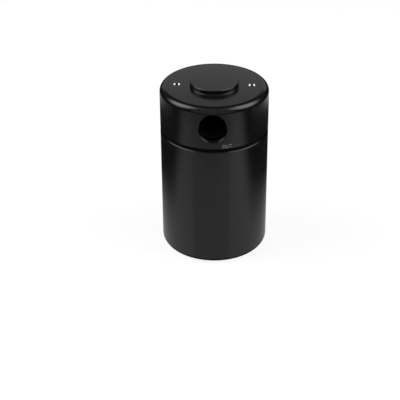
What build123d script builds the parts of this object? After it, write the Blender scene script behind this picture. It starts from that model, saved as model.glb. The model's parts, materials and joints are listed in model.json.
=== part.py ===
# Oil catch can: a turned canister closed by a screw-on lid that carries both hose ports and,
# hanging below it, the inlet tube and the separator stack.
# Millimetres, +Z up. The origin is the centre of the base, and the outlet port faces -Y.
import os
from math import cos, radians, sin

from build123d import *

# Canister
body_diameter = 76.0
canister_height = 90.5
wall_thickness = 5.0
floor_thickness = 5.0
base_round = 5.0
floor_chamfer = 2.0
rim_chamfer = 0.5
mouth_chamfer = 0.5

# Screw thread between canister and lid, drawn as plain cylinders at the roots of both threads
thread_wall = 4.0
thread_depth = 1.0
thread_clearance = 0.2
thread_runout = 1.0
spigot_length = 13.0
spigot_wall = 4.8
spigot_chamfer = 0.8

# Lid, with the round boss that a bracket ring drops over
lid_round = 4.2
lip_chamfer = 0.6
boss_diameter = 34.0
boss_height = 3.3
boss_chamfer = 0.2
boss_foot_round = 0.5

# Seal ring squeezed between the canister's rim and the lid, seen in the seam
seal_height = 2.2
seal_width = 3.0
seal_recess = 0.9
seal_clearance = 0.2

# Hose ports: a tapped bore with a conical mouth, a cross drilling and a passage to the underside
port_bore = 19.2
port_chamfer = 1.6
port_edge_round = 0.4
port_depth = 16.0
port_land_below = 3.8
port_into_round = 0.2
cross_drill_step = 1.0

# Tapped holes for the bracket screws
screw_spacing = 52.0
screw_bore = 2.5
screw_chamfer = 0.5
screw_depth = 9.0
countersink_angle = 90.0

# Inlet tube, pressed into the passage below the rear port
tube_diameter = 12.0
tube_wall = 1.0
tube_seat = 7.0
tube_fit = 0.05
tube_clearance = 0.4
tube_to_washer = 1.0
tube_to_floor = 15.0

# Centre stud that clamps the separator stack under the lid
stud_diameter = 6.0
stud_seat = 12.0
stud_tail = 2.0
stud_chamfer = 0.6
stud_clearance = 0.2
sleeve_diameter = 10.0
sleeve_length = 26.0

# Separator stack: two perforated plates with a pad of knitted wire between them
plate_thickness = 1.5
plate_clearance = 0.7
pad_height = 20.0
pad_clearance = 1.0
plate_edge = 4.0
perforation = 5.0
inner_ring_radius = 12.5
inner_ring_count = 6
outer_ring_count = 12
tube_direction = 90.0
blank_sector = 90.0

# Washer and self-locking nut under the stack
washer_diameter = 16.0
washer_thickness = 1.6
nut_across_flats = 10.0
nut_height = 4.5
nut_collar_diameter = 8.8
nut_collar_height = 1.5

# Radii and levels that follow from the sizes above
body_radius = body_diameter / 2
chamber_radius = body_radius - wall_thickness
thread_radius = body_radius - thread_wall
spigot_radius = thread_radius - thread_depth - thread_clearance
pocket_radius = spigot_radius - spigot_wall
seal_outer_radius = body_radius - seal_recess
neck_radius = seal_outer_radius - seal_width - seal_clearance
stud_radius = stud_diameter / 2
stud_hole_radius = stud_radius + stud_clearance
tube_radius = tube_diameter / 2
tube_hole_radius = tube_radius + tube_clearance
passage_radius = tube_radius + tube_fit
passage_offset = washer_diameter / 2 + tube_to_washer + tube_radius
cross_drill_radius = passage_radius - cross_drill_step
port_radius = port_bore / 2
port_mouth_radius = port_radius + port_chamfer
plate_radius = chamber_radius - plate_clearance
outer_ring_radius = plate_radius - plate_edge - perforation / 2

lid_base = canister_height + seal_height
port_level = lid_base + lip_chamfer + port_land_below + port_mouth_radius
lid_top = port_level + port_mouth_radius - port_into_round + lid_round
spigot_end = canister_height - spigot_length
tube_top = lid_base + tube_seat
upper_plate_top = lid_base - sleeve_length
upper_plate_base = upper_plate_top - plate_thickness
pad_base = upper_plate_base - pad_height
lower_plate_base = pad_base - plate_thickness
washer_base = lower_plate_base - washer_thickness
nut_base = washer_base - nut_height
stud_base = nut_base - nut_collar_height - stud_tail
stud_top = lid_base + stud_seat

outlet_face = Plane((0, -body_radius, port_level), x_dir=(1, 0, 0), z_dir=(0, -1, 0))
inlet_face = Plane((0, body_radius, port_level), x_dir=(-1, 0, 0), z_dir=(0, 1, 0))
lid_underside = Plane((0, 0, lid_base), x_dir=(1, 0, 0), z_dir=(0, 0, -1))


def perforation_places():
    """Centres of a plate's holes: two rings, with a blank sector where the inlet tube passes."""
    rings = ((inner_ring_radius, inner_ring_count), (outer_ring_radius, outer_ring_count))
    places = []
    for ring_radius, count in rings:
        for index in range(count):
            turn = 360 * index / count
            if abs(turn - tube_direction) > blank_sector / 2:
                places.append((ring_radius * cos(radians(turn)), ring_radius * sin(radians(turn))))
    return places


def baffle_plate(base):
    """A perforated plate with its underside at the given level."""
    with BuildPart() as plate:
        with BuildSketch(Plane.XY.offset(base)):
            Circle(plate_radius)
            Circle(stud_hole_radius, mode=Mode.SUBTRACT)
            with Locations((0, passage_offset)):
                Circle(tube_hole_radius, mode=Mode.SUBTRACT)
            with Locations(*perforation_places()):
                Circle(perforation / 2, mode=Mode.SUBTRACT)
        extrude(amount=plate_thickness)
    return plate


os.makedirs("parts", exist_ok=True)

# Canister: a cup with a rounded foot, a tapped mouth and a bevelled rim
with BuildPart() as canister:
    with BuildSketch():
        Circle(body_radius)
    extrude(amount=canister_height)
    fillet(canister.faces().sort_by(Axis.Z)[0].edges(), base_round)
    chamfer(canister.faces().sort_by(Axis.Z)[-1].edges(), rim_chamfer)
    with BuildSketch(Plane.XY.offset(floor_thickness)):
        Circle(chamber_radius)
    extrude(amount=canister_height - floor_thickness, mode=Mode.SUBTRACT)
    chamber_floor = canister.faces().filter_by(Plane.XY).sort_by(Axis.Z)[1]
    chamfer(chamber_floor.edges(), floor_chamfer)
    with BuildSketch(Plane.XY.offset(canister_height)):
        Circle(thread_radius)
    extrude(amount=-spigot_length - thread_runout, mode=Mode.SUBTRACT)
    rim = canister.faces().filter_by(Plane.XY).sort_by(Axis.Z)[-1]
    chamfer(rim.edges().sort_by(SortBy.RADIUS)[0], mouth_chamfer)
canister.part.label = "canister"
export_step(canister.part, "parts/canister.step")

# Lid: a thick head with a rounded top edge, a boss on top and a hollow spigot below
with BuildPart() as lid:
    with BuildSketch(Plane.XY.offset(lid_base)):
        Circle(body_radius)
    extrude(amount=lid_top - lid_base)
    fillet(lid.faces().sort_by(Axis.Z)[-1].edges(), lid_round)
    chamfer(lid.faces().sort_by(Axis.Z)[0].edges(), lip_chamfer)
    with BuildSketch(Plane.XY.offset(lid_top)):
        Circle(boss_diameter / 2)
    extrude(amount=boss_height)
    chamfer(lid.faces().sort_by(Axis.Z)[-1].edges(), boss_chamfer)
    boss_wall = lid.faces().filter_by(GeomType.CYLINDER).sort_by(Axis.Z)[-1]
    fillet(boss_wall.edges().sort_by(Axis.Z)[0], boss_foot_round)
    with BuildSketch(Plane.XY.offset(canister_height)):
        Circle(neck_radius)
    extrude(amount=seal_height)
    with BuildSketch(Plane.XY.offset(spigot_end)):
        Circle(spigot_radius)
    extrude(amount=spigot_length)
    chamfer(lid.faces().sort_by(Axis.Z)[0].edges(), spigot_chamfer)
    with BuildSketch(Plane.XY.offset(spigot_end)):
        Circle(pocket_radius)
    extrude(amount=lid_base - spigot_end, mode=Mode.SUBTRACT)
    with Locations(outlet_face, inlet_face):
        CounterSinkHole(port_radius, port_mouth_radius, port_depth, countersink_angle)
    cone_edges = lid.faces().filter_by(GeomType.CONE).edges()
    plain_shapes = (GeomType.CIRCLE, GeomType.LINE)
    mouth_outlines = cone_edges.filter_by(lambda edge: edge.geom_type not in plain_shapes)
    fillet(mouth_outlines, port_edge_round)
    with Locations(outlet_face, inlet_face):
        Hole(cross_drill_radius, body_radius - passage_offset)
    with BuildSketch(Plane.XY.offset(lid_base)):
        with Locations((0, -passage_offset), (0, passage_offset)):
            Circle(passage_radius)
    extrude(amount=port_level + passage_radius - lid_base, mode=Mode.SUBTRACT)
    with Locations(lid_underside):
        Hole(stud_hole_radius, stud_seat)
    with Locations((-screw_spacing / 2, 0, lid_top), (screw_spacing / 2, 0, lid_top)):
        CounterSinkHole(screw_bore / 2, screw_bore / 2 + screw_chamfer, screw_depth, countersink_angle)
lid.part.label = "lid"
export_step(lid.part, "parts/lid.step")

# Seal ring: a flat ring that fills the seam
with BuildPart() as lid_seal:
    with BuildSketch(Plane.XY.offset(canister_height)):
        Circle(seal_outer_radius)
        Circle(seal_outer_radius - seal_width, mode=Mode.SUBTRACT)
    extrude(amount=seal_height)
lid_seal.part.label = "lid_seal"
export_step(lid_seal.part, "parts/lid_seal.step")

# Inlet tube
with BuildPart() as inlet_tube:
    with BuildSketch(Plane.XY.offset(tube_top)):
        with Locations((0, passage_offset)):
            Circle(tube_radius)
            Circle(tube_radius - tube_wall, mode=Mode.SUBTRACT)
    extrude(amount=floor_thickness + tube_to_floor - tube_top)
inlet_tube.part.label = "inlet_tube"
export_step(inlet_tube.part, "parts/inlet_tube.step")

# Centre stud
with BuildPart() as centre_stud:
    with BuildSketch(Plane.XY.offset(stud_base)):
        Circle(stud_radius)
    extrude(amount=stud_top - stud_base)
    chamfer(centre_stud.faces().sort_by(Axis.Z)[0].edges(), stud_chamfer)
centre_stud.part.label = "centre_stud"
export_step(centre_stud.part, "parts/centre_stud.step")

# Spacer sleeve between the lid and the upper plate
with BuildPart() as stud_sleeve:
    with BuildSketch(Plane.XY.offset(upper_plate_top)):
        Circle(sleeve_diameter / 2)
        Circle(stud_hole_radius, mode=Mode.SUBTRACT)
    extrude(amount=sleeve_length)
stud_sleeve.part.label = "stud_sleeve"
export_step(stud_sleeve.part, "parts/stud_sleeve.step")

# Perforated plates
upper_plate = baffle_plate(upper_plate_base)
upper_plate.part.label = "upper_plate"
export_step(upper_plate.part, "parts/upper_plate.step")

lower_plate = baffle_plate(lower_plate_base)
lower_plate.part.label = "lower_plate"
export_step(lower_plate.part, "parts/lower_plate.step")

# Knitted wire pad between the plates
with BuildPart() as wire_pad:
    with BuildSketch(Plane.XY.offset(pad_base)):
        Circle(chamber_radius - pad_clearance)
        Circle(stud_hole_radius, mode=Mode.SUBTRACT)
        with Locations((0, passage_offset)):
            Circle(tube_hole_radius, mode=Mode.SUBTRACT)
    extrude(amount=pad_height)
wire_pad.part.label = "wire_pad"
export_step(wire_pad.part, "parts/wire_pad.step")

# Washer and nut that hold the stack up
with BuildPart() as stud_washer:
    with BuildSketch(Plane.XY.offset(washer_base)):
        Circle(washer_diameter / 2)
        Circle(stud_hole_radius, mode=Mode.SUBTRACT)
    extrude(amount=washer_thickness)
stud_washer.part.label = "stud_washer"
export_step(stud_washer.part, "parts/stud_washer.step")

with BuildPart() as stud_nut:
    with BuildSketch(Plane.XY.offset(nut_base)):
        RegularPolygon(nut_across_flats / 2, 6, major_radius=False)
    extrude(amount=nut_height)
    with BuildSketch(Plane.XY.offset(nut_base)):
        Circle(nut_collar_diameter / 2)
    extrude(amount=-nut_collar_height)
    with BuildSketch(Plane.XY.offset(washer_base)):
        Circle(stud_hole_radius)
    extrude(amount=-nut_height - nut_collar_height, mode=Mode.SUBTRACT)
stud_nut.part.label = "stud_nut"
export_step(stud_nut.part, "parts/stud_nut.step")
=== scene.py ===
import json
from math import cos, pi, radians, sin

import bmesh
import bpy
from mathutils import Matrix, Vector


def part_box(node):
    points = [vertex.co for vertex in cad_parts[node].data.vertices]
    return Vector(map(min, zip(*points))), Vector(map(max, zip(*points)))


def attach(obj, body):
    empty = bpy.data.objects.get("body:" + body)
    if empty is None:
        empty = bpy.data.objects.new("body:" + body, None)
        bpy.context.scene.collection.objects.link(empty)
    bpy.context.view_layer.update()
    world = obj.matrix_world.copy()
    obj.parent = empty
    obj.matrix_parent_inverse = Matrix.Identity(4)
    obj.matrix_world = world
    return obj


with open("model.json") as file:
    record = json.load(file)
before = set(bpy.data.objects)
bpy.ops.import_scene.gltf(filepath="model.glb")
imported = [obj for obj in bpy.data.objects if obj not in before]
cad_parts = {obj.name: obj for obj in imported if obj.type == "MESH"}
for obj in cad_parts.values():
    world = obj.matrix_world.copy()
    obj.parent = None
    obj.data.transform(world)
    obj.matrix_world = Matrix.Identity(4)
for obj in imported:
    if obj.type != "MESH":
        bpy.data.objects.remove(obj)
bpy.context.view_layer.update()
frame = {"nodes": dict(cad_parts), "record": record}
NODES = frame["nodes"]
MOUNTS = {mount["name"]: mount for mount in frame["record"]["mounts"]}

# Lengths are in metres, angles in degrees and the powers of lamps in watts
MM = 0.001
ORIGIN = (0.0, 0.0, 0.0)
WHITE = (1.0, 1.0, 1.0, 1.0)
BLACK = (0.0, 0.0, 0.0, 1.0)

# Sizes that the frame holds
BODY_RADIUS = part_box("canister")[1].x
CANISTER_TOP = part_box("canister")[1].z
SPIGOT_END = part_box("lid")[0].z
PORT_LEVEL = MOUNTS["port_out"]["pos_m"][2]
PORT_RADIUS = MOUNTS["port_out"]["dims"]["r_mm"] * MM
SCREW_OFFSET = MOUNTS["bracket_screws"]["dims"]["spacing_x_mm"] / 2 * MM
SCREW_BORE_RADIUS = MOUNTS["bracket_screws"]["dims"]["hole_r_mm"] * MM

# Ridge of a thread: half widths as shares of its pitch, steps in a turn and turns to taper over
RIDGE_BASE_HALF = 0.4
RIDGE_CREST_HALF = 0.08
RIDGE_SINK = 0.05 * MM
RIDGE_STEPS = 72
RIDGE_TAPER = 1 / 3

# Screw thread between canister and lid: both ridges share a helix, half a pitch apart
THREAD_PITCH = 2.0 * MM
THREAD_RISE = 0.95 * MM
MOUTH_ROOT = 34.0 * MM
SPIGOT_ROOT = 32.8 * MM
THREAD_START = SPIGOT_END + 1.6 * MM
THREAD_END = CANISTER_TOP - 1.2 * MM

# Pipe thread in the hose ports
PORT_PITCH = 1.814 * MM
PORT_RISE = 0.7 * MM
PORT_THREAD_FROM = BODY_RADIUS - 15.0 * MM
PORT_THREAD_TO = BODY_RADIUS - 6.0 * MM

# Words beside the ports, and the share of a font's size that its capitals take
MARK_HEIGHT = 2.6 * MM
MARK_CAPITALS = 0.69
MARK_CONDENSED = 0.86
MARK_THICKNESS = 0.06 * MM
MARK_WEIGHT = 0.08 * MM
MARK_LEVEL = 93.8 * MM
MARK_AZIMUTH = 14.8
MARK_CUTS = 2

# Black finish, darker on the bevel of the canister's rim, and darkened inside the ports as painted shade
ANODISED_DARK = (0.0031, 0.0031, 0.0034)
ANODISED_LIGHT = (0.0045, 0.0045, 0.0049)
ANODISED_SPECULAR = 0.26
DULL_SPECULAR = 0.05
RIM_BEVEL = 0.52 * MM
RIM_DARKNESS = 0.5
PORT_MOUTH_RADIUS = 11.6 * MM
PORT_BRIGHT_EDGE = 0.45 * MM
PORT_SHADE_DARKNESS = 0.8

# Painted glints: pale spots left and right of each bracket hole
GLINT_TONE = (0.74, 0.74, 0.75)
GLINT_ROUGHNESS = 0.45
GLINT_OFFSET = 1.5 * MM
GLINT_HALF_WIDTH = 0.7 * MM
GLINT_HALF_LENGTH = 1.7 * MM
GLINT_ABOVE = 120.0 * MM

# Table that the walls reflect: its stops are pairs of an angle from the front and a tone or a reach
TABLE_LEVEL = 0.5 * MM
TABLE_CENTRE = -0.0225
TABLE_LEAN = 4.0
TABLE_TONES = (
    (0, 0.87),
    (39, 0.87),
    (45, 1.12),
    (66, 1.05),
    (87, 0.86),
    (111, 0.6),
    (127, 0.48),
    (180, 0.48),
)
TABLE_REACH = ((0, 0.22), (57, 0.33), (75, 0.18), (89, 0.115), (103, 0.105), (180, 0.1))
TABLE_FADE_FROM = 0.45
TABLE_FADE_TO = 1.55
TABLE_TILT = 0.9
TABLE_DARKEST = 0.02

# Shadow of the can on that table
CONTACT_DARK_TO = BODY_RADIUS - 0.5 * MM
CONTACT_BRIGHT_FROM = BODY_RADIUS + 3.0 * MM

# Bright ring on that table behind the can, with tones of its own on the right and on the left
RING_RIGHT = ((0, 0.0), (84, 0.0), (94, 1.0), (112, 0.8), (142, 1.45), (180, 1.5))
RING_LEFT = ((0, 0.0), (84, 0.0), (94, 0.6), (106, 0.64), (125, 0.78), (142, 0.85), (180, 0.85))
RING_DARK_TO = 0.245
RING_BRIGHT_FROM = 0.3
RING_BRIGHT_TO = 0.3
RING_DARK_FROM = 0.34

# Backdrop behind the can that the lid's top reflects
BACKDROP_HALF = 0.28
BACKDROP_PLACE = 0.4
BACKDROP_HEIGHT = 0.6
BACKDROP_DARK_TO = 0.18
BACKDROP_BRIGHT_FROM = 0.275
BACKDROP_BRIGHT_TO = 0.22
BACKDROP_DARK_FROM = 0.44
BACKDROP_TONE = 1.0

# Grey front and its canopy that the lid's rim reflects between its highlights
FRONT_HALF = 0.82
FRONT_PLACE = -0.9
FRONT_HEIGHT = 1.0
FRONT_TONE = 0.55

# Softboxes: lamps, and fronts that the lid's rim reflects, evenly bright to a share of their reach
SOFTBOXES = {
    "left_softbox": {"place": (-0.68, -0.061, 0.739), "reach": 0.72, "tone": 7.7, "power": 8.0},
    "right_softbox": {"place": (0.655, -0.113, 0.762), "reach": 0.8, "tone": 7.1, "power": 6.7},
}
SOFTBOX_EVEN = 0.2
SOFTBOX_NARROW = 1.3

# Dark studio round the set
STUDIO_HALF = 1.4
STUDIO_HEIGHT = 1.2
STUDIO_TONE = 0.02
STUDIO_ROUGHNESS = 0.9

# White floor and background
FLOOR_HALF = 6.0
FLOOR_TONE = 0.95
FLOOR_GLOW = 0.86
FLOOR_SHADED_TO = 0.25
FLOOR_WHITE_FROM = 0.9
WORLD_FILL = 0.4

# Camera, as fitted to the outline of the can in a 400 by 400 picture
CAMERA_AZIMUTH = 1.65
CAMERA_PITCH = 31.304
CAMERA_DISTANCE = 723.4 * MM
CAMERA_HEIGHT = 470.0 * MM
CAMERA_LENS = 103.9
CAMERA_SENSOR = 36.0
CAMERA_SHIFT = -0.0357
CAMERA_CLIP = 0.01


def grey(tone):
    """The colour of a neutral tone."""
    return tone, tone, tone


def opaque(colour):
    """A colour with the full alpha that a node wants beside it."""
    return *colour, 1.0


def new_material(name):
    """A new node material, its tree and its Principled shader."""
    material = bpy.data.materials.new(name)
    material.use_nodes = True
    return material, material.node_tree, material.node_tree.nodes["Principled BSDF"]


def set_inputs(node, **values):
    """Sets inputs of a node to plain values, underscores standing for spaces."""
    for key, value in values.items():
        node.inputs[key.replace("_", " ")].default_value = value


def feed(tree, node, **sockets):
    """Links sockets to inputs of a node, underscores standing for spaces."""
    for key, socket in sockets.items():
        tree.links.new(socket, node.inputs[key.replace("_", " ")])


def fed_by(node, key):
    """The socket that is linked to an input of a node."""
    return node.inputs[key].links[0].from_socket


def add_node(tree, kind, **values):
    """A node of that kind with the given input values."""
    node = tree.nodes.new(kind)
    set_inputs(node, **values)
    return node


def math_node(tree, operation, first, second=None):
    """The result of a math operation on sockets or numbers."""
    node = tree.nodes.new("ShaderNodeMath")
    node.operation = operation
    for socket, value in zip(node.inputs, (first, second)):
        if isinstance(value, (int, float)):
            socket.default_value = value
        elif value is not None:
            tree.links.new(value, socket)
    return node.outputs["Value"]


def product(tree, first, *factors):
    """The product of a socket and other sockets or numbers."""
    result = first
    for factor in factors:
        result = math_node(tree, "MULTIPLY", result, factor)
    return result


def object_position(tree):
    """The object's own coordinates."""
    return tree.nodes.new("ShaderNodeTexCoord").outputs["Object"]


def coordinates(tree):
    """The X, Y and Z sockets of the object's own coordinates."""
    split = tree.nodes.new("ShaderNodeSeparateXYZ")
    feed(tree, split, Vector=object_position(tree))
    return split.outputs["X"], split.outputs["Y"], split.outputs["Z"]


def distance_from(tree, place, **parts):
    """The distance from a place to the point with these X, Y or Z sockets, zero where one is left out."""
    point = tree.nodes.new("ShaderNodeCombineXYZ")
    feed(tree, point, **parts)
    reach = tree.nodes.new("ShaderNodeVectorMath")
    reach.operation = "DISTANCE"
    reach.inputs[1].default_value = place
    tree.links.new(point.outputs["Vector"], reach.inputs[0])
    return reach.outputs["Value"]


def noise(tree, grains, detail=3.0, position=None):
    """The value of a noise texture with that many grains a metre, on the object's own coordinates."""
    texture = add_node(tree, "ShaderNodeTexNoise", Scale=grains, Detail=detail)
    feed(tree, texture, Vector=position or object_position(tree))
    return texture.outputs["Fac"]


def streaks(tree, along_x, along_y, along_z):
    """A noise with its own number of grains a metre along each axis, for brushed or turned marks."""
    stretched = add_node(tree, "ShaderNodeMapping", Scale=(along_x, along_y, along_z))
    feed(tree, stretched, Vector=object_position(tree))
    return noise(tree, grains=1.0, detail=2.0, position=stretched.outputs["Vector"])


def spread(tree, value, low, high, start=0.3, end=0.7):
    """Maps a value from start..end to low..high."""
    ranged = add_node(tree, "ShaderNodeMapRange", From_Min=start, From_Max=end, To_Min=low, To_Max=high)
    feed(tree, ranged, Value=value)
    return ranged.outputs["Result"]


def falloff(tree, value, bright, dark):
    """1 on the bright side of a value, 0 on the dark side, and smooth between."""
    ranged = add_node(tree, "ShaderNodeMapRange", From_Min=bright, From_Max=dark, To_Min=1.0, To_Max=0.0)
    ranged.interpolation_type = "SMOOTHSTEP"
    feed(tree, ranged, Value=value)
    return ranged.outputs["Result"]


def band(tree, value, dark_to, bright_from, bright_to, dark_from):
    """A smooth rise of a value from dark to bright, times its smooth fall to dark again."""
    rising = falloff(tree, value, bright=bright_from, dark=dark_to)
    falling = falloff(tree, value, bright=bright_to, dark=dark_from)
    return product(tree, rising, falling)


def two_tone(tree, value, dark, light, start=0.35, end=0.65):
    """A colour ramp between two colours."""
    ramp = tree.nodes.new("ShaderNodeValToRGB")
    for element, place, colour in zip(ramp.color_ramp.elements, (start, end), (dark, light)):
        element.position = place
        element.color = opaque(colour)
    feed(tree, ramp, Fac=value)
    return ramp.outputs["Color"]


def by_angle(tree, angle, stops):
    """A value that follows stops of (degrees from the front, value), for an angle in radians."""
    most = max(value for _, value in stops)
    ramp = tree.nodes.new("ShaderNodeValToRGB")
    elements = ramp.color_ramp.elements
    while len(elements) < len(stops):
        elements.new(1.0)
    for element, (degrees, value) in zip(elements, stops):
        element.position = degrees / 180
        element.color = opaque(grey(value / most))
    feed(tree, ramp, Fac=math_node(tree, "DIVIDE", angle, pi))
    return product(tree, ramp.outputs["Color"], most)


def bump(tree, shader, height, strength, depth):
    """Lets a pattern stand out of the surface."""
    node = add_node(tree, "ShaderNodeBump", Strength=strength, Distance=depth)
    feed(tree, node, Height=height)
    feed(tree, shader, Normal=node.outputs["Normal"])


def patterned(tree, shader, pattern, dark, light, smooth, rough):
    """Lets the tone and the roughness of a shader follow a pattern."""
    tone = two_tone(tree, pattern, dark, light)
    feed(tree, shader, Base_Color=tone, Roughness=spread(tree, pattern, smooth, rough))


def anodised_black(name):
    """Satin black anodised aluminium: nearly black, with a fine even grain."""
    material, tree, shader = new_material(name)
    tone = two_tone(tree, noise(tree, grains=900.0), ANODISED_DARK, ANODISED_LIGHT)
    roughness = spread(tree, noise(tree, grains=260.0), low=0.17, high=0.2)
    feed(tree, shader, Base_Color=tone, Roughness=roughness)
    set_inputs(shader, Specular_IOR_Level=ANODISED_SPECULAR)
    bump(tree, shader, noise(tree, grains=5000.0, detail=1.0), strength=0.01, depth=0.01 * MM)
    return material, tree, shader


def darken(tree, shader, mask, darkness):
    """Dims the black finish on a mask: as metal, a tone as black as this reflects less."""
    feed(tree, shader, Metallic=product(tree, mask, darkness))


def anodised_canister():
    """The same finish, darker on the bevel of the rim."""
    material, tree, shader = anodised_black("anodised_canister")
    _, _, z = coordinates(tree)
    on_rim = math_node(tree, "GREATER_THAN", z, CANISTER_TOP - RIM_BEVEL)
    darken(tree, shader, on_rim, RIM_DARKNESS)
    return material


def painted_glint_spots(tree, x, y, z):
    """1 on the painted glints left and right of each bracket hole, 0 elsewhere."""
    beside = math_node(tree, "SUBTRACT", math_node(tree, "ABSOLUTE", x), SCREW_OFFSET)
    from_line = math_node(tree, "ABSOLUTE", beside)
    from_hole = distance_from(tree, ORIGIN, X=from_line, Y=y)
    outside_bore = math_node(tree, "GREATER_THAN", from_hole, SCREW_BORE_RADIUS)
    stretch = GLINT_HALF_LENGTH / GLINT_HALF_WIDTH
    across = product(tree, from_line, stretch)
    from_spot = distance_from(tree, (GLINT_OFFSET * stretch, 0.0, 0.0), X=across, Y=y)
    in_spot = math_node(tree, "LESS_THAN", from_spot, GLINT_HALF_LENGTH)
    near_top = math_node(tree, "GREATER_THAN", z, GLINT_ABOVE)
    return product(tree, outside_bore, in_spot, near_top)


def port_painted_shade(tree, x, y, z):
    """1 inside the ports, up to the bright edge of their mouths, 0 elsewhere: where painted shade darkens
    the finish.
    """
    from_port = distance_from(tree, (0.0, 0.0, PORT_LEVEL), X=x, Z=z)
    in_mouth = math_node(tree, "LESS_THAN", from_port, PORT_MOUTH_RADIUS)
    from_axis = distance_from(tree, ORIGIN, X=x, Y=y)
    below_wall = math_node(tree, "LESS_THAN", from_axis, BODY_RADIUS - PORT_BRIGHT_EDGE)
    return product(tree, in_mouth, below_wall)


def anodised_lid():
    """The same finish, darkened inside the ports as painted shade, with pale spots beside the bracket
    holes as painted glints.
    """
    material, tree, shader = anodised_black("anodised_lid")
    x, y, z = coordinates(tree)
    # Painted shade: the inside of each port is dimmed to near black
    darken(tree, shader, port_painted_shade(tree, x, y, z), PORT_SHADE_DARKNESS)
    # Painted glints: a pale tone on spots beside the bracket holes
    glint = painted_glint_spots(tree, x, y, z)
    mixed = tree.nodes.new("ShaderNodeMix")
    mixed.data_type = "RGBA"
    set_inputs(mixed, B=opaque(GLINT_TONE))
    feed(tree, mixed, Factor=glint, A=fed_by(shader, "Base Color"))
    glint_roughness = product(tree, glint, GLINT_ROUGHNESS)
    roughness = math_node(tree, "MAXIMUM", fed_by(shader, "Roughness"), glint_roughness)
    feed(tree, shader, Base_Color=mixed.outputs["Result"], Roughness=roughness)
    return material


def tapped_black():
    """A duller black than the lid's finish, for the threads inside the ports."""
    material, tree, shader = new_material("tapped_black")
    grain = noise(tree, grains=2500.0)
    patterned(tree, shader, grain, dark=grey(0.002), light=grey(0.003), smooth=0.5, rough=0.6)
    set_inputs(shader, Specular_IOR_Level=DULL_SPECULAR)
    return material


def bare_aluminium():
    """Turned aluminium, with fine marks round the axis."""
    material, tree, shader = new_material("bare_aluminium")
    marks = streaks(tree, along_x=400.0, along_y=400.0, along_z=6000.0)
    dark, light = (0.66, 0.67, 0.68), (0.76, 0.77, 0.78)
    patterned(tree, shader, marks, dark, light, smooth=0.24, rough=0.38)
    set_inputs(shader, Metallic=1.0)
    bump(tree, shader, marks, strength=0.1, depth=0.05 * MM)
    return material


def stainless_sheet():
    """Stainless sheet, brushed along X."""
    material, tree, shader = new_material("stainless_sheet")
    grain = streaks(tree, along_x=300.0, along_y=9000.0, along_z=300.0)
    dark, light = (0.52, 0.52, 0.53), (0.64, 0.64, 0.65)
    patterned(tree, shader, grain, dark, light, smooth=0.26, rough=0.42)
    set_inputs(shader, Metallic=1.0)
    bump(tree, shader, grain, strength=0.08, depth=0.04 * MM)
    return material


def zinc_plate():
    """Zinc plated steel, a little cloudy."""
    material, tree, shader = new_material("zinc_plate")
    cloud = noise(tree, grains=700.0)
    dark, light = (0.58, 0.58, 0.56), (0.66, 0.66, 0.67)
    patterned(tree, shader, cloud, dark, light, smooth=0.28, rough=0.4)
    set_inputs(shader, Metallic=1.0)
    return material


def knitted_wire():
    """Loops of fine wire: bent diagonal waves over a dark ground."""
    material, tree, shader = new_material("knitted_wire")
    wave = add_node(tree, "ShaderNodeTexWave", Scale=420.0, Distortion=6.0, Detail=2.0, Detail_Scale=1.5)
    wave.bands_direction = "DIAGONAL"
    feed(tree, wave, Vector=object_position(tree))
    loops = wave.outputs["Fac"]
    tone = two_tone(tree, loops, dark=grey(0.03), light=(0.6, 0.6, 0.61))
    roughness = spread(tree, noise(tree, grains=800.0), low=0.3, high=0.5)
    feed(tree, shader, Base_Color=tone, Roughness=roughness)
    set_inputs(shader, Metallic=1.0)
    bump(tree, shader, loops, strength=0.9, depth=0.6 * MM)
    return material


def seal_rubber():
    """The dull black rubber of the seal ring."""
    material, tree, shader = new_material("seal_rubber")
    grain = noise(tree, grains=2500.0)
    patterned(tree, shader, grain, dark=grey(0.001), light=grey(0.002), smooth=0.7, rough=0.85)
    set_inputs(shader, Specular_IOR_Level=DULL_SPECULAR)
    bump(tree, shader, grain, strength=0.15, depth=0.08 * MM)
    return material


def laser_mark():
    """The pale grey that a laser leaves on black anodising."""
    material, tree, shader = new_material("laser_mark")
    grain = noise(tree, grains=6000.0, detail=1.0)
    dark, light = (0.075, 0.075, 0.078), (0.12, 0.12, 0.123)
    patterned(tree, shader, grain, dark, light, smooth=0.5, rough=0.7)
    return material


def add_object(name, data):
    """A new object in the scene."""
    added = bpy.data.objects.new(name, data)
    bpy.context.scene.collection.objects.link(added)
    return added


def add_piece(name, mesh, material, body):
    """A new piece of the can that rides a body and takes its finish from a slot."""
    mesh.materials.append(material)
    piece = add_object(name, mesh)
    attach(piece, body)


def thread_mesh(name, root, rise, pitch, start, end, place=Matrix.Identity(4)):
    """A helical ridge along +Z with tapered ends, moved to a place. A negative rise points inwards."""
    foot = root - RIDGE_SINK if rise > 0 else root + RIDGE_SINK
    steps = int((end - start) / pitch * RIDGE_STEPS)
    taper = RIDGE_STEPS * RIDGE_TAPER
    rings = []
    work = bmesh.new()
    for step in range(steps + 1):
        angle = 2 * pi * step / RIDGE_STEPS
        level = start + pitch * step / RIDGE_STEPS
        grown = min(1.0, (step + 1) / taper, (steps + 1 - step) / taper)
        base_half = RIDGE_BASE_HALF * pitch * grown
        crest_half = RIDGE_CREST_HALF * pitch * grown
        crest = root + rise * grown
        outline = ((foot, -base_half), (crest, -crest_half), (crest, crest_half), (foot, base_half))
        rings.append([work.verts.new((r * cos(angle), r * sin(angle), level + z)) for r, z in outline])
    for first, second in zip(rings, rings[1:]):
        for corner in range(4):
            after = (corner + 1) % 4
            work.faces.new((first[corner], second[corner], second[after], first[after]))
    work.faces.new(rings[0][::-1])
    work.faces.new(rings[-1])
    bmesh.ops.recalc_face_normals(work, faces=work.faces)
    work.transform(place)
    mesh = bpy.data.meshes.new(name)
    work.to_mesh(mesh)
    work.free()
    return mesh


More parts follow.
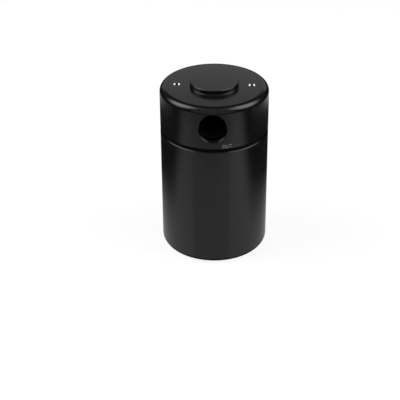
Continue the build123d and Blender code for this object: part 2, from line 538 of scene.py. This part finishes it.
def word_mesh(name, word, azimuth):
    """A word laid round the lid's wall, centred on an azimuth, as a very thin slab."""
    letters = bpy.data.curves.new(name, "FONT")
    letters.body = word
    letters.align_x = "CENTER"
    letters.size = MARK_HEIGHT / MARK_CAPITALS
    letters.extrude = MARK_THICKNESS / 2
    letters.offset = MARK_WEIGHT
    text = add_object(name + "_text", letters)
    bpy.context.view_layer.update()
    mesh = bpy.data.meshes.new_from_object(text)
    bpy.data.objects.remove(text)
    work = bmesh.new()
    work.from_mesh(mesh)
    bmesh.ops.triangulate(work, faces=work.faces)
    bmesh.ops.subdivide_edges(work, edges=work.edges, cuts=MARK_CUTS, use_grid_fill=True)
    for vert in work.verts:
        angle = radians(azimuth) + MARK_CONDENSED * vert.co.x / BODY_RADIUS
        radius = BODY_RADIUS + vert.co.z
        vert.co = (radius * sin(angle), -radius * cos(angle), MARK_LEVEL + vert.co.y)
    work.to_mesh(mesh)
    work.free()
    return mesh


def add_screw_threads(lid_finish, body_finish):
    """The ridges of the screw thread, on the lid's spigot and in the canister's mouth."""
    ridge = thread_mesh("lid_thread", SPIGOT_ROOT, THREAD_RISE, THREAD_PITCH, THREAD_START, THREAD_END)
    add_piece("lid_thread", ridge, lid_finish, "lid")
    start = THREAD_START - THREAD_PITCH / 2
    ridge = thread_mesh("canister_thread", MOUTH_ROOT, -THREAD_RISE, THREAD_PITCH, start, THREAD_END)
    add_piece("canister_thread", ridge, body_finish, "canister")


def add_port_thread(name, turn, material):
    """The thread of a port, turned about the can's axis to face it."""
    forwards = Matrix.Translation((0, 0, PORT_LEVEL)) @ Matrix.Rotation(pi / 2, 4, "X")
    place = Matrix.Rotation(turn, 4, "Z") @ forwards
    mesh = thread_mesh(name, PORT_RADIUS, -PORT_RISE, PORT_PITCH, PORT_THREAD_FROM, PORT_THREAD_TO, place)
    add_piece(name, mesh, material, "lid")


def paint_frame(materials):
    """Gives every CAD node its finish."""
    for node, material in materials.items():
        NODES[node].material_slots[0].material = material


def lying(x_from, x_to, y_from, y_to, level):
    """The corners of a sheet that lies flat."""
    return [(x_from, y_from, level), (x_to, y_from, level), (x_to, y_to, level), (x_from, y_to, level)]


def standing(start, end, height):
    """The corners of a sheet that stands on the floor between two points."""
    return [(*start, 0.0), (*end, 0.0), (*end, height), (*start, height)]


def add_sheets(name, sheets, material):
    """An object of flat sheets, each given by its four corners."""
    corners = [corner for sheet in sheets for corner in sheet]
    faces = [tuple(range(first, first + 4)) for first in range(0, len(corners), 4)]
    mesh = bpy.data.meshes.new(name)
    mesh.from_pydata(corners, [], faces)
    mesh.materials.append(material)
    return add_object(name, mesh)


def add_cards(name, sheets):
    """Cards round the set that are seen only in reflections. Returns their tree and shader."""
    material, tree, shader = new_material(name)
    cards = add_sheets(name, sheets, material)
    cards.visible_camera = False
    cards.visible_diffuse = False
    cards.visible_shadow = False
    return tree, shader


def glowing(tree, shader, strength):
    """Turns a card's material into a white glow of the given strength."""
    tree.nodes.remove(shader)
    glow = add_node(tree, "ShaderNodeEmission", Color=WHITE)
    feed(tree, glow, Strength=strength)
    feed(tree, tree.nodes["Material Output"], Surface=glow.outputs["Emission"])


def table_light(tree, x, distance, angle):
    """The light of the table itself, which fades with distance and grows towards the right."""
    share = math_node(tree, "DIVIDE", distance, by_angle(tree, angle, TABLE_REACH))
    near = falloff(tree, share, bright=TABLE_FADE_FROM, dark=TABLE_FADE_TO)
    tilt = math_node(tree, "ADD", product(tree, x, TABLE_TILT), 1.0)
    return product(tree, by_angle(tree, angle, TABLE_TONES), near, tilt)


def ring_light(tree, x, distance, angle):
    """The light of the ring on the table behind the can."""
    on_right = math_node(tree, "GREATER_THAN", x, 0.0)
    on_left = math_node(tree, "SUBTRACT", 1.0, on_right)
    right_tone = product(tree, by_angle(tree, angle, RING_RIGHT), on_right)
    left_tone = product(tree, by_angle(tree, angle, RING_LEFT), on_left)
    tone = math_node(tree, "ADD", right_tone, left_tone)
    ring = band(tree, distance, RING_DARK_TO, RING_BRIGHT_FROM, RING_BRIGHT_TO, RING_DARK_FROM)
    return product(tree, tone, ring)


def add_table():
    """The table that the can's wall reflects, dark under the can and with a ring behind it."""
    whole = lying(-STUDIO_HALF, STUDIO_HALF, -STUDIO_HALF, STUDIO_HALF, TABLE_LEVEL)
    tree, shader = add_cards("table_card", [whole])
    x, y, _ = coordinates(tree)
    forward = math_node(tree, "SUBTRACT", TABLE_CENTRE, y)
    distance = distance_from(tree, ORIGIN, X=x, Y=forward)
    leaned = math_node(tree, "ADD", math_node(tree, "ARCTAN2", x, forward), radians(TABLE_LEAN))
    angle = math_node(tree, "ABSOLUTE", leaned)
    lit = table_light(tree, x, distance, angle)
    ring = ring_light(tree, x, distance, angle)
    brightest = math_node(tree, "MAXIMUM", math_node(tree, "MAXIMUM", lit, ring), TABLE_DARKEST)
    from_axis = distance_from(tree, ORIGIN, X=x, Y=y)
    clear = falloff(tree, from_axis, bright=CONTACT_BRIGHT_FROM, dark=CONTACT_DARK_TO)
    glowing(tree, shader, product(tree, brightest, clear))


def add_backdrop():
    """The backdrop that the lid's top reflects, darker towards its foot and its upper edge."""
    ends = (-BACKDROP_HALF, BACKDROP_PLACE), (BACKDROP_HALF, BACKDROP_PLACE)
    tree, shader = add_cards("backdrop_card", [standing(*ends, BACKDROP_HEIGHT)])
    _, _, z = coordinates(tree)
    levels = BACKDROP_DARK_TO, BACKDROP_BRIGHT_FROM, BACKDROP_BRIGHT_TO, BACKDROP_DARK_FROM
    glowing(tree, shader, product(tree, band(tree, z, *levels), BACKDROP_TONE))


def add_grey_front():
    """The grey front of the studio and the canopy over it."""
    front = standing((-FRONT_HALF, FRONT_PLACE), (FRONT_HALF, FRONT_PLACE), FRONT_HEIGHT)
    canopy = lying(-FRONT_HALF, FRONT_HALF, FRONT_PLACE, 0.0, FRONT_HEIGHT)
    _, shader = add_cards("grey_front", [front, canopy])
    set_inputs(shader, Base_Color=BLACK, Emission_Color=WHITE, Emission_Strength=FRONT_TONE)


def add_dark_studio():
    """A dark ceiling and dark walls round the set."""
    left, right = -STUDIO_HALF, STUDIO_HALF
    ceiling = lying(left, right, left, right, STUDIO_HEIGHT)
    walls = [
        standing((left, left), (right, left), STUDIO_HEIGHT),
        standing((left, left), (left, right), STUDIO_HEIGHT),
        standing((right, left), (right, right), STUDIO_HEIGHT),
        standing((left, right), (right, right), STUDIO_HEIGHT),
    ]
    _, shader = add_cards("dark_studio", [ceiling, *walls])
    set_inputs(shader, Base_Color=opaque(grey(STUDIO_TONE)), Roughness=STUDIO_ROUGHNESS)


def seen_directly(tree):
    """1 for camera, glossy and transmission rays, which show the white background, and 0 for the rest."""
    rays = tree.nodes.new("ShaderNodeLightPath").outputs
    camera_or_glossy = math_node(tree, "MAXIMUM", rays["Is Camera Ray"], rays["Is Glossy Ray"])
    return math_node(tree, "MAXIMUM", camera_or_glossy, rays["Is Transmission Ray"])


def mix_to_surface(tree, output, share, first, second):
    """Sends a mix of two shaders to an output node, the second one by the given share."""
    mixed = tree.nodes.new("ShaderNodeMixShader")
    feed(tree, mixed, Fac=share)
    tree.links.new(first, mixed.inputs[1])
    tree.links.new(second, mixed.inputs[2])
    feed(tree, tree.nodes[output], Surface=mixed.outputs["Shader"])


def add_floor():
    """A plain floor with a soft shadow of the can, as white as the background further out."""
    material, tree, shader = new_material("floor")
    tree.nodes.remove(shader)
    matt = add_node(tree, "ShaderNodeBsdfDiffuse", Color=opaque(grey(FLOOR_TONE)))
    glow = add_node(tree, "ShaderNodeEmission", Color=WHITE, Strength=1.0)
    x, y, _ = coordinates(tree)
    from_axis = distance_from(tree, ORIGIN, X=x, Y=y)
    near = falloff(tree, from_axis, bright=FLOOR_SHADED_TO, dark=FLOOR_WHITE_FROM)
    glow_share = math_node(tree, "SUBTRACT", 1.0, product(tree, near, 1.0 - FLOOR_GLOW))
    share = product(tree, seen_directly(tree), glow_share)
    mix_to_surface(tree, "Material Output", share, matt.outputs["BSDF"], glow.outputs["Emission"])
    whole = lying(-FLOOR_HALF, FLOOR_HALF, -FLOOR_HALF, FLOOR_HALF, level=0.0)
    floor = add_sheets("floor", [whole], material)


def add_world():
    """White where it is seen, a dimmer fill where it lights the can."""
    world = bpy.data.worlds.new("studio")
    bpy.context.scene.world = world
    world.use_nodes = True
    tree = world.node_tree
    fill = tree.nodes["Background"]
    set_inputs(fill, Color=WHITE, Strength=WORLD_FILL)
    white = add_node(tree, "ShaderNodeBackground", Color=WHITE, Strength=1.0)
    shaders = fill.outputs["Background"], white.outputs["Background"]
    mix_to_surface(tree, "World Output", seen_directly(tree), *shaders)


def add_softbox(name, place, reach, tone, power):
    """A tall softbox: its lamp, and its front as the finish reflects it, brightest in the middle."""
    facing = (Vector((0.0, 0.0, PORT_LEVEL)) - Vector(place)).to_track_quat("-Z", "Y")
    lamp = bpy.data.lights.new(name, "AREA")
    lamp.shape = "DISK"
    lamp.size = reach
    lamp.energy = power
    holder = add_object(name, lamp)
    holder.location = place
    holder.rotation_euler = facing.to_euler()
    holder.visible_glossy = False
    square = lying(-reach, reach, -reach, reach, level=0.0)
    front = [Vector(place) + facing @ Vector(corner) for corner in square]
    tree, shader = add_cards(name + "_front", [front])
    x, y, z = coordinates(tree)
    across = product(tree, y, SOFTBOX_NARROW)
    middle = (place[0], place[1] * SOFTBOX_NARROW, place[2])
    from_middle = distance_from(tree, middle, X=x, Y=across, Z=z)
    fade = falloff(tree, from_middle, bright=SOFTBOX_EVEN * reach, dark=reach)
    glowing(tree, shader, product(tree, fade, tone))


def add_camera():
    """The camera of the photo."""
    optics = bpy.data.cameras.new("camera")
    optics.lens = CAMERA_LENS
    optics.sensor_width = CAMERA_SENSOR
    optics.shift_x = CAMERA_SHIFT
    optics.clip_start = CAMERA_CLIP
    camera = add_object("camera", optics)
    turn = radians(CAMERA_AZIMUTH)
    camera.location = (CAMERA_DISTANCE * sin(turn), -CAMERA_DISTANCE * cos(turn), CAMERA_HEIGHT)
    camera.rotation_euler = (radians(90 - CAMERA_PITCH), 0.0, turn)
    bpy.context.scene.camera = camera
    bpy.context.scene.view_settings.view_transform = "Standard"


# Finishes of the CAD nodes
body_finish = anodised_canister()
lid_finish = anodised_lid()
aluminium = bare_aluminium()
stainless = stainless_sheet()
plated = zinc_plate()
paint_frame(
    {
        "canister": body_finish,
        "lid": lid_finish,
        "lid_seal": seal_rubber(),
        "inlet_tube": aluminium,
        "stud_sleeve": aluminium,
        "upper_plate": stainless,
        "lower_plate": stainless,
        "wire_pad": knitted_wire(),
        "centre_stud": plated,
        "stud_washer": plated,
        "stud_nut": plated,
    }
)

# Threads and words
add_screw_threads(lid_finish, body_finish)
tapped = tapped_black()
add_port_thread("outlet_thread", 0.0, tapped)
add_port_thread("inlet_thread", pi, tapped)
mark = laser_mark()
add_piece("outlet_mark", word_mesh("outlet_mark", "OUT", MARK_AZIMUTH), mark, "lid")
add_piece("inlet_mark", word_mesh("inlet_mark", "IN", 180.0 + MARK_AZIMUTH), mark, "lid")

# Set, lights and camera
add_floor()
add_world()
add_table()
add_backdrop()
add_grey_front()
add_dark_studio()
for name, values in SOFTBOXES.items():
    add_softbox(name, **values)
add_camera()
